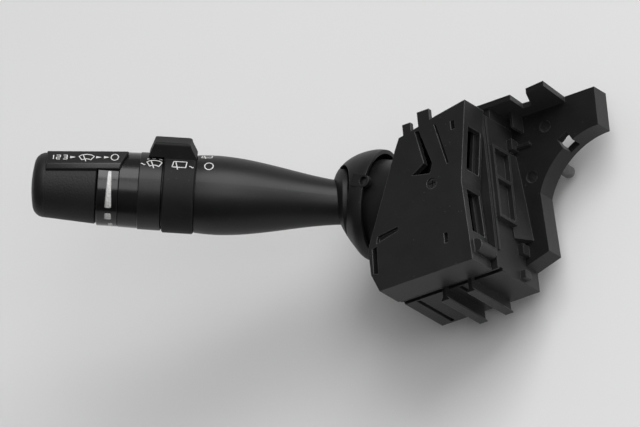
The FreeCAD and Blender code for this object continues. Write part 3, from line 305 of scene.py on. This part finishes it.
def scratched(material, across, strength):
    """Adds long fine scratches to a moulding's shine, in one direction."""
    tree = material.node_tree
    place = tree.nodes.new("ShaderNodeTexCoord")
    stretch = tree.nodes.new("ShaderNodeMapping")
    stretch.vector_type = "TEXTURE"
    stretch.inputs["Rotation"].default_value = across
    stretch.inputs["Scale"].default_value = SCRATCH_STRETCH
    tree.links.new(place.outputs["Object"], stretch.inputs["Vector"])
    lines = tree.nodes.new("ShaderNodeTexNoise")
    lines.inputs["Scale"].default_value = 1.0
    lines.inputs["Detail"].default_value = 1.0
    tree.links.new(stretch.outputs["Vector"], lines.inputs["Vector"])
    cut = tree.nodes.new("ShaderNodeMapRange")
    cut.inputs["From Min"].default_value = SCRATCH_START
    cut.inputs["From Max"].default_value = SCRATCH_FULL
    tree.links.new(lines.outputs["Fac"], cut.inputs["Value"])
    score = tree.nodes.new("ShaderNodeBump")
    score.inputs["Strength"].default_value = strength
    score.inputs["Distance"].default_value = SCRATCH_DEPTH
    score.invert = True
    shader = tree.nodes["Principled BSDF"]
    before = shader.inputs["Normal"].links[0].from_socket
    tree.links.new(cut.outputs["Result"], score.inputs["Height"])
    tree.links.new(before, score.inputs["Normal"])
    tree.links.new(score.outputs["Normal"], shader.inputs["Normal"])


stem_black = moulded("stem_black", grey=0.005, rough=0.38, grain=0.12, grain_size=FINE_GRAIN)
ring_black = moulded("ring_black", grey=0.0065, rough=0.6, grain=0.12, grain_size=FINE_GRAIN,
                     specular=0.2, edge_wear_and_highlight=0.05)
scratched(ring_black, LEVER_TURN, 0.5)
finish_nodes(("lever_stem",), stem_black)


# Thumb ring: the turning ring with its tab, which runs down to the ring in one slope
# on the stem's side. Turns go round the lever from the driver's side upwards.
LEVER_ORIGIN = Vector((-0.0846, 0.0196, 0.0205))
LEVER_AXIS = Vector((-0.8376, 0.1643, 0.5210)).normalized()
LEVER_FACE = Vector((0.5112, -0.1003, 0.8536)).normalized()
LEVER_UP = LEVER_AXIS.cross(LEVER_FACE)
TAB_TURN = 55.0
TAB_SHOULDER_START = 0.0646
TAB_SHOULDER_HEIGHT = 0.0165
TAB_SHOULDER_DROP = 0.0029
WELD = 0.000002


def select_corners(piece, test):
    """Opens a piece in edit mode with the corners selected that pass a test."""
    bpy.ops.object.mode_set(mode="EDIT")
    bpy.ops.mesh.select_all(action="DESELECT")
    bpy.ops.object.mode_set(mode="OBJECT")
    for corner in piece.data.vertices:
        corner.select = test(corner.co)
    bpy.ops.object.mode_set(mode="EDIT")


tab_turn = math.radians(TAB_TURN)
tab_way = LEVER_FACE * math.cos(tab_turn) + LEVER_UP * math.sin(tab_turn)
bpy.ops.object.select_all(action="DESELECT")
nodes["rear_wiper_ring"].select_set(True)
bpy.context.view_layer.objects.active = nodes["rear_wiper_ring"]
bpy.ops.object.duplicate()
thumb_ring = bpy.context.object
thumb_ring.name = "thumb_ring"
select_corners(thumb_ring, lambda spot: True)
bpy.ops.mesh.remove_doubles(threshold=WELD, use_sharp_edge_from_normals=True)
bpy.ops.object.mode_set(mode="OBJECT")
select_corners(thumb_ring,
               lambda spot: (spot - LEVER_ORIGIN).dot(LEVER_AXIS) < TAB_SHOULDER_START
               and (spot - LEVER_ORIGIN).dot(tab_way) > TAB_SHOULDER_HEIGHT)
bpy.ops.transform.translate(value=-tab_way * TAB_SHOULDER_DROP)
bpy.ops.object.mode_set(mode="OBJECT")
bpy.ops.object.select_all(action="DESELECT")
thumb_ring.data.materials.clear()
thumb_ring.data.materials.append(ring_black)
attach(thumb_ring, "rear_ring")
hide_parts("rear_wiper_ring")
bpy.context.view_layer.update()


# Sleeve and interval ring: the sleeve is glossy for a third of its length next to
# the ring and satin after the fine step, and the ring is mirror smooth.
STEP_STATION = 0.0840
STEP_WIDTH = 0.0002
POLISHED = 0.5
GLOSS_ROUGH = 0.16

sleeve_black = moulded("sleeve_black", grey=0.005, rough=0.38, grain=0.1, grain_size=FINE_GRAIN)
sleeve_tree = sleeve_black.node_tree
sleeve_place = sleeve_tree.nodes.new("ShaderNodeTexCoord")
along = sleeve_tree.nodes.new("ShaderNodeVectorMath")
along.operation = "DOT_PRODUCT"
along.inputs[1].default_value = LEVER_AXIS
past_step = sleeve_tree.nodes.new("ShaderNodeMapRange")
step_place = LEVER_ORIGIN.dot(LEVER_AXIS) + STEP_STATION
past_step.inputs["From Min"].default_value = step_place
past_step.inputs["From Max"].default_value = step_place + STEP_WIDTH
past_step.inputs["To Min"].default_value = 1.0
past_step.inputs["To Max"].default_value = POLISHED
polish = sleeve_tree.nodes.new("ShaderNodeMath")
polish.operation = "MULTIPLY"
sleeve_shader = sleeve_tree.nodes["Principled BSDF"]
sleeve_shine = sleeve_shader.inputs["Roughness"].links[0].from_socket
sleeve_tree.links.new(sleeve_place.outputs["Object"], along.inputs[0])
sleeve_tree.links.new(along.outputs["Value"], past_step.inputs["Value"])
sleeve_tree.links.new(past_step.outputs["Result"], polish.inputs[0])
sleeve_tree.links.new(sleeve_shine, polish.inputs[1])
sleeve_tree.links.new(polish.outputs["Value"], sleeve_shader.inputs["Roughness"])
finish_nodes(("lever_sleeve", "lever_core"), sleeve_black)
gloss_black = moulded("gloss_black", grey=0.004, rough=GLOSS_ROUGH, grain=0.03,
                      grain_size=FINE_GRAIN, specular=0.4)
finish_nodes(("delay_scale_ring",), gloss_black)


# Knob and its end cap: the grip is matt with a leathery grain where fingers turn it,
# and the cap that closes it is smoother.
grip_black = moulded("grip_black", grey=0.008, rough=0.58, grain=0.55, grain_size=1500,
                     specular=0.3)
cap_black = moulded("cap_black", grey=0.007, rough=0.5, grain=0.25, grain_size=1900)
finish_nodes(("wiper_knob",), grip_black)
finish_nodes(("knob_end_cap",), cap_black)


# Legend rib: a smooth satin bar along the knob, with a chamfer down each long side
# and a slanted end that reaches over the interval ring. It sits on the knob's skin.
RIB_TURN = 32.0
RIB_STATION = 0.1031
RIB_LENGTH = 0.0288
RIB_WIDTH = 0.0095
RIB_CHAMFER = 0.00135
RIB_TOP = 0.0147
RIB_TIP_DROP = 0.0020
RIB_SLANT = 0.0028
RIB_BASE = 0.0100
RIB_ROOT_STATION = 0.0882
RIB_ROUND = 0.00025
TOP_REACH = 0.0005
FOOT_REACH = 0.001
SIDE_REACH = 0.004
SMOOTH_TURN = 35.0
SLEEVE_CLEAR = 0.01355
SLEEVE_LENGTH = 0.02
GRIP_ROOT = 0.01255
GRIP_TIP = 0.0113
GRIP_LENGTH = 0.0195
GRIP_ROOT_STATION = 0.0990
CUT_OVERLAP = 0.0005
ROUND_SIDES = 128
# The rib's pale edges are painted highlight along its chamfers as well as wear.
rib_black = moulded("rib_black", grey=0.006, rough=0.34, grain=0.08, grain_size=FINE_GRAIN,
                    specular=0.4, edge_wear_and_highlight=0.06)


def cut_away(piece, cutter):
    """Cuts one piece's volume out of another and removes the cutter."""
    cut = piece.modifiers.new("cut", "BOOLEAN")
    cut.object = cutter
    cut.solver = "MANIFOLD"
    bpy.ops.object.select_all(action="DESELECT")
    piece.select_set(True)
    bpy.context.view_layer.objects.active = piece
    bpy.ops.object.modifier_apply(modifier="cut")
    bpy.data.objects.remove(cutter)


rib_root_x = RIB_STATION - RIB_ROOT_STATION
bpy.ops.object.select_all(action="DESELECT")
bpy.ops.mesh.primitive_cube_add(
    size=1, location=(rib_root_x - RIB_LENGTH / 2, 0, (RIB_TOP + RIB_BASE) / 2),
    scale=(RIB_LENGTH, RIB_WIDTH, RIB_TOP - RIB_BASE))
rib = bpy.context.object
rib.name = "legend_rib"
bpy.ops.object.transform_apply(location=True, rotation=True, scale=True)
select_corners(rib, lambda spot: spot.z > RIB_TOP - TOP_REACH and spot.x < 0)
bpy.ops.transform.translate(value=(0, 0, -RIB_TIP_DROP))
bpy.ops.object.mode_set(mode="OBJECT")
select_corners(rib, lambda spot: spot.x > 0 and spot.y < 0)
bpy.ops.transform.translate(value=(-RIB_SLANT, 0, 0))
bpy.ops.object.mode_set(mode="OBJECT")
for side in (-1, 1):
    select_corners(rib, lambda spot: spot.z > RIB_BASE + FOOT_REACH
                   and spot.y * side > SIDE_REACH)
    bpy.ops.mesh.bevel(offset=RIB_CHAMFER, segments=1, affect="EDGES")
    bpy.ops.object.mode_set(mode="OBJECT")
round_edges = rib.modifiers.new("round_edges", "BEVEL")
round_edges.width = RIB_ROUND
round_edges.segments = 3
bpy.ops.object.modifier_apply(modifier="round_edges")
knob_x = RIB_STATION - GRIP_ROOT_STATION
bpy.ops.object.select_all(action="DESELECT")
bpy.ops.mesh.primitive_cylinder_add(
    vertices=ROUND_SIDES, radius=SLEEVE_CLEAR, depth=SLEEVE_LENGTH,
    location=(knob_x + SLEEVE_LENGTH / 2, 0, 0), rotation=(0, math.pi / 2, 0))
cut_away(rib, bpy.context.object)
bpy.ops.object.select_all(action="DESELECT")
bpy.ops.mesh.primitive_cone_add(
    vertices=ROUND_SIDES, radius1=GRIP_TIP, radius2=GRIP_ROOT, depth=GRIP_LENGTH,
    location=(knob_x + CUT_OVERLAP - GRIP_LENGTH / 2, 0, 0), rotation=(0, math.pi / 2, 0))
cut_away(rib, bpy.context.object)
bpy.ops.object.shade_smooth_by_angle(angle=math.radians(SMOOTH_TURN))
rib_turn = math.radians(RIB_TURN)
rib_out = LEVER_FACE * math.cos(rib_turn) + LEVER_UP * math.sin(rib_turn)
rib_seat = Matrix((-LEVER_AXIS, rib_out.cross(-LEVER_AXIS), rib_out)).transposed().to_4x4()
rib_seat.translation = LEVER_ORIGIN + LEVER_AXIS * RIB_STATION
rib.data.transform(rib_seat)
rib.data.materials.clear()
rib.data.materials.append(rib_black)
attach(rib, "knob")
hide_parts("knob_legend_plate")
bpy.context.view_layer.update()


# Working parts of natural white acetal: the drivers, sliders, spindle and detent
# block, waxy and slightly yellowed. The frame that holds them is black nylon.
TONE_START, TONE_END = 0.35, 0.65
GLINT_SPREAD = (-0.06, 0.08)
GRAIN_FINE_DEPTH = 0.0001


def mottled(name, dark, light, rough, spot_size, specular=0.4, metallic=0.0, grain=0.1):
    """Material of two close shades in soft spots, with a trace of surface grain."""
    material = bpy.data.materials.new(name)
    material.use_nodes = True
    tree = material.node_tree
    shader = tree.nodes["Principled BSDF"]
    shader.inputs["Specular IOR Level"].default_value = specular
    shader.inputs["Metallic"].default_value = metallic
    place = tree.nodes.new("ShaderNodeTexCoord")
    cloud = tree.nodes.new("ShaderNodeTexNoise")
    cloud.inputs["Scale"].default_value = spot_size
    cloud.inputs["Detail"].default_value = 4.0
    tree.links.new(place.outputs["Object"], cloud.inputs["Vector"])
    tone = tree.nodes.new("ShaderNodeValToRGB")
    tone.color_ramp.elements[0].position = TONE_START
    tone.color_ramp.elements[1].position = TONE_END
    tone.color_ramp.elements[0].color = dark + (1,)
    tone.color_ramp.elements[1].color = light + (1,)
    tree.links.new(cloud.outputs["Fac"], tone.inputs["Fac"])
    tree.links.new(tone.outputs["Color"], shader.inputs["Base Color"])
    shine = tree.nodes.new("ShaderNodeMapRange")
    shine.inputs["To Min"].default_value = rough + GLINT_SPREAD[0]
    shine.inputs["To Max"].default_value = rough + GLINT_SPREAD[1]
    tree.links.new(cloud.outputs["Fac"], shine.inputs["Value"])
    tree.links.new(shine.outputs["Result"], shader.inputs["Roughness"])
    bump = tree.nodes.new("ShaderNodeBump")
    bump.inputs["Strength"].default_value = grain
    bump.inputs["Distance"].default_value = GRAIN_FINE_DEPTH
    tree.links.new(cloud.outputs["Fac"], bump.inputs["Height"])
    tree.links.new(bump.outputs["Normal"], shader.inputs["Normal"])
    return material


acetal_white = mottled("acetal_white", dark=(0.64, 0.62, 0.56), light=(0.76, 0.75, 0.70),
                       rough=0.42, spot_size=160.0)
finish_nodes(("ring_carrier", "knob_spindle", "detent_plunger", "swing_slider",
              "pull_slider", "detent_block"), acetal_white)
finish_nodes(("mechanism_frame",), root_black)


# Locating peg: light grey plastic, pressed into the bracket, dull from handling.
peg_grey = mottled("peg_grey", dark=(0.07, 0.07, 0.072), light=(0.12, 0.12, 0.123), rough=0.5,
                   spot_size=400.0)
finish_nodes(("locating_peg",), peg_grey)


# Circuit boards and the flat lead: green lacquer over copper that shows through as
# paler tracks, and an amber film with fine conductors along it.
board_green = mottled("board_green", dark=(0.02, 0.10, 0.045), light=(0.06, 0.20, 0.09),
                      rough=0.32, spot_size=700.0)
film_amber = mottled("film_amber", dark=(0.27, 0.13, 0.03), light=(0.42, 0.24, 0.07),
                     rough=0.35, spot_size=900.0)
finish_nodes(("circuit_board", "lever_board"), board_green)
finish_nodes(("lever_lead",), film_amber)


# Contacts and terminals: stamped brass, bright where it wipes, with a brown bloom.
brass = mottled("brass", dark=(0.58, 0.40, 0.16), light=(0.82, 0.64, 0.32), rough=0.3,
                spot_size=500.0, metallic=1.0, grain=0.15)
finish_nodes(("terminal_pins", "fixed_contacts", "washer_contacts", "slider_contact",
              "pull_contact", "ring_contact", "knob_contact"), brass)


# Pins, ball and cover screw: plated steel with the slight grain of plating, bright
# zinc on the pull pin and ball, and black zinc on the screw and the swing pins.
zinc_steel = mottled("zinc_steel", dark=(0.46, 0.46, 0.47), light=(0.66, 0.66, 0.67), rough=0.3,
                     spot_size=900.0, metallic=1.0, grain=0.12)
finish_nodes(("pull_pin", "detent_ball"), zinc_steel)
black_zinc = mottled("black_zinc", dark=(0.035, 0.035, 0.037), light=(0.09, 0.09, 0.095),
                     rough=0.38, spot_size=900.0, metallic=1.0, grain=0.15)
finish_nodes(("cover_screw", "swing_pins"), black_zinc)


# Coil springs: one pushes the detent ball against the knob's web, the other pushes
# the plunger on the detent block. Both are wound from round spring wire.
SIDE_WAY = Vector((0.40674, 0.91355, 0.0))
INWARD_WAY = Vector((0.91355, -0.40674, 0.0))
BALL_OFFSET = 0.0082
BALL_SPRING = (0.0921, 0.0964)
BALL_ACROSS, BALL_WIRE, BALL_TURNS = 0.0022, 0.00035, 6
PLUNGER_SPRING = (0.0180, 0.0247)
PLUNGER_ACROSS, PLUNGER_WIRE, PLUNGER_TURNS = 0.0033, 0.0005, 7
WIRE_SIDES = 10
TURN_STEPS = 28
COIL_WELD = 0.000005
COIL_SMOOTH_TURN = 60.0


def coil(name, across, wire, length, turns, foot, way, side):
    """Wound spring with closed wire ends, stood at its foot along a direction."""
    bpy.ops.object.select_all(action="DESELECT")
    bpy.ops.mesh.primitive_circle_add(
        vertices=WIRE_SIDES, radius=wire / 2, rotation=(math.pi / 2, 0, 0),
        location=((across - wire) / 2, 0, wire / 2))
    spring = bpy.context.object
    spring.name = name
    bpy.ops.object.transform_apply(location=True, rotation=True, scale=True)
    winding = spring.modifiers.new("winding", "SCREW")
    winding.axis = "Z"
    winding.angle = 2 * math.pi
    winding.screw_offset = (length - wire) / turns
    winding.iterations = turns
    winding.steps = TURN_STEPS
    winding.render_steps = TURN_STEPS
    winding.use_merge_vertices = False
    bpy.ops.object.modifier_apply(modifier="winding")
    bpy.ops.object.mode_set(mode="EDIT")
    bpy.ops.mesh.select_all(action="SELECT")
    bpy.ops.mesh.remove_doubles(threshold=COIL_WELD)
    bpy.ops.mesh.fill_holes(sides=0)
    bpy.ops.mesh.select_all(action="SELECT")
    bpy.ops.mesh.normals_make_consistent(inside=False)
    bpy.ops.object.mode_set(mode="OBJECT")
    bpy.ops.object.shade_smooth_by_angle(angle=math.radians(COIL_SMOOTH_TURN))
    stand = Matrix((side, way.cross(side), way)).transposed().to_4x4()
    stand.translation = foot
    spring.data.transform(stand)
    spring.data.materials.append(zinc_steel)
    return spring


ball_coil = coil("ball_coil", BALL_ACROSS, BALL_WIRE, BALL_SPRING[1] - BALL_SPRING[0],
                 BALL_TURNS,
                 LEVER_ORIGIN + LEVER_AXIS * BALL_SPRING[0] + LEVER_UP * BALL_OFFSET,
                 LEVER_AXIS, LEVER_FACE)
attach(ball_coil, "lever")
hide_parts("detent_ball_spring")
plunger_coil = coil("plunger_coil", PLUNGER_ACROSS, PLUNGER_WIRE,
                    PLUNGER_SPRING[1] - PLUNGER_SPRING[0], PLUNGER_TURNS,
                    LEVER_ORIGIN + INWARD_WAY * PLUNGER_SPRING[0], INWARD_WAY, SIDE_WAY)
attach(plunger_coil, "lever")
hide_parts("plunger_spring")


# White prints on the lever: thin pad-printed ink, drawn flat in millimetres and laid
# on the moulding under it. They show wiping, washing and off, and plain numbers.
MM = 0.001
INK_HALF = 0.02
STROKE = 0.44
POINT_PITCH = 0.45
HOVER = 0.3
RIB_HOVER = 15.0
BAR_CORNER = 0.45
white_ink = mottled("white_ink", dark=(0.44, 0.44, 0.43), light=(0.62, 0.62, 0.61), rough=0.5,
                    spot_size=1500.0)


def barrel_place(station, turn, radius):
    """Places flat millimetres just over the lever's round surface, in metres."""
    def spot(x, y):
        angle = math.radians(turn) + y / radius
        out = LEVER_FACE * math.cos(angle) + LEVER_UP * math.sin(angle)
        return LEVER_ORIGIN + (LEVER_AXIS * (station - x) + out * (radius + HOVER)) * MM
    return spot


def strip_place(station, turn, height):
    """Places flat millimetres just over a flat rib along the lever, in metres."""
    def spot(x, y):
        angle = math.radians(turn)
        out = LEVER_FACE * math.cos(angle) + LEVER_UP * math.sin(angle)
        up = LEVER_UP * math.cos(angle) - LEVER_FACE * math.sin(angle)
        return LEVER_ORIGIN + (LEVER_AXIS * (station - x) + up * y + out * height) * MM
    return spot


def printed(name, strokes, width, spot, carrier, body):
    """Ink strokes of points (right, up, swell) laid on the carrier's skin."""
    drawing = bpy.data.curves.new(name, "CURVE")
    drawing.dimensions = "3D"
    drawing.bevel_depth = width / 2
    drawing.bevel_resolution = 1
    drawing.use_fill_caps = True
    for stroke in strokes:
        closed = stroke[0] == stroke[-1]
        dense = []
        for start, end in zip(stroke, stroke[1:]):
            parts = max(1, round(math.dist(start[:2], end[:2]) / POINT_PITCH))
            for step in range(parts):
                dense.append([a + (b - a) * step / parts for a, b in zip(start, end)])
        if not closed:
            dense.append(list(stroke[-1]))
        line = drawing.splines.new("POLY")
        line.points.add(len(dense) - 1)
        for point, values in zip(line.points, dense):
            point.co = (values[0], values[1], 0, 1)
            point.radius = values[2] if len(values) > 2 else 1.0
        line.use_cyclic_u = closed
    piece = bpy.data.objects.new(name, drawing)
    bpy.context.scene.collection.objects.link(piece)
    bpy.ops.object.select_all(action="DESELECT")
    piece.select_set(True)
    bpy.context.view_layer.objects.active = piece
    bpy.ops.object.convert(target="MESH")
    piece = bpy.context.object
    for vertex in piece.data.vertices:
        x, y, z = vertex.co
        skin, normal = carrier.closest_point_on_mesh(spot(x, y))[1:3]
        lift = INK_HALF * (1 + 2 * z / width)
        vertex.co = skin + normal * lift * MM
    piece.data.materials.append(white_ink)
    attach(piece, body)


def moved(strokes, right, up=0.0, scale=1.0):
    """The same strokes, shifted and scaled."""
    return [[(x * scale + right, y * scale + up, *swell) for x, y, *swell in stroke]
            for stroke in strokes]


def ring_stroke(wide, tall):
    """Closed oval stroke of twenty points."""
    turns = [2 * math.pi * step / 20 for step in range(20)]
    oval = [(wide / 2 * math.cos(turn), tall / 2 * math.sin(turn)) for turn in turns]
    return [oval + [oval[0]]]


def tapered_bar(length, top, foot):
    """Bar with rounded corners, as one stroke of the foot's width that narrows."""
    turns = [math.pi / 2 * step / 6 for step in range(7)]
    upper = [(0.0, length / 2 - BAR_CORNER * (1 - math.cos(turn)),
              (top / 2 - BAR_CORNER * (1 - math.sin(turn))) * 2 / foot) for turn in turns]
    lower = [(0.0, -length / 2 + BAR_CORNER * (1 - math.sin(turn)),
              (foot / 2 - BAR_CORNER * (1 - math.cos(turn))) * 2 / foot) for turn in turns]
    return [upper + lower]


SCREEN_FRONT = [[(-1.6, -1.5), (-2.7, 0.5), (-1.6, 1.3), (0.0, 1.6), (1.6, 1.3), (2.7, 0.5),
                 (1.6, -1.5), (0.8, -1.05), (0.0, -0.9), (-0.8, -1.05), (-1.6, -1.5)],
                [(-1.25, 1.2), (-0.1, -2.3)]]
SPRAY = [[(-2.7, 2.1), (-1.9, 2.4)], [(-0.9, 2.6), (0.3, 2.7)], [(1.5, 2.5), (2.6, 2.1)]]
SCREEN_REAR = [[(-2.6, -1.3), (-2.1, 1.5), (2.5, 1.5), (2.2, -1.3), (-2.6, -1.3)],
               [(-1.4, 1.3), (-0.6, -2.3)]]
WAVE = [[(-0.75, 0.15), (-0.4, 0.35), (0.0, 0.0), (0.4, -0.3), (0.8, -0.05)]]
ARROW = [[(-0.9, 0.0, 3.2), (0.9, 0.0, 0.5)]]
NUMBERS = [[(-2.4, -1.1), (-2.4, 1.1)],
           [(-1.3, 1.1), (0.0, 1.1), (0.0, 0.0), (-1.3, 0.0), (-1.3, -1.1), (0.0, -1.1)],
           [(1.1, 1.1), (2.4, 1.1), (2.4, -1.1), (1.1, -1.1)], [(1.3, 0.0), (2.4, 0.0)]]

# Stations along the lever, turns round it in degrees and radii, in millimetres.
SCALE_RADIUS = 13.1
SLEEVE_SPOT = (79.0, 28.0, 13.6)
RING_SPOT = (70.1, 26.0, 14.2)
STEM_SPOT = (59.8, 27.7, 13.4)

rib_signs = (moved(NUMBERS, -9.3) + moved(ARROW, -4.9) + SCREEN_FRONT
             + moved(ARROW, 4.3) + moved(ARROW, 7.1) + moved(ring_stroke(2.6, 3.4), 10.0))
printed("rib_signs", rib_signs, STROKE, strip_place(RIB_STATION / MM, RIB_TURN, RIB_HOVER),
        rib, "knob")
for name, length, top, foot, station, turn in (
        ("scale_bar", 13.6, 1.4, 2.4, 94.4, -20.0),
        ("scale_mark_upper", 3.1, 2.3, 2.5, 94.4, -67.0),
        ("scale_mark_lower", 3.6, 1.6, 1.6, 93.5, -93.0)):
    printed(name, tapered_bar(length, top, foot), foot,
            barrel_place(station, turn, SCALE_RADIUS), nodes["delay_scale_ring"], "lever")
printed("sleeve_sign", SCREEN_FRONT + SPRAY + moved(WAVE, -4.0, -0.7), STROKE,
        barrel_place(*SLEEVE_SPOT), nodes["lever_sleeve"], "lever")
printed("ring_sign", SCREEN_REAR + moved(WAVE, 4.2, -0.9), STROKE,
        barrel_place(*RING_SPOT), thumb_ring, "rear_ring")
printed("stem_sign", ring_stroke(3.0, 3.3) + moved(SCREEN_REAR, -1.0, 6.2, 0.75), STROKE,
        barrel_place(*STEM_SPOT), nodes["lever_stem"], "lever")
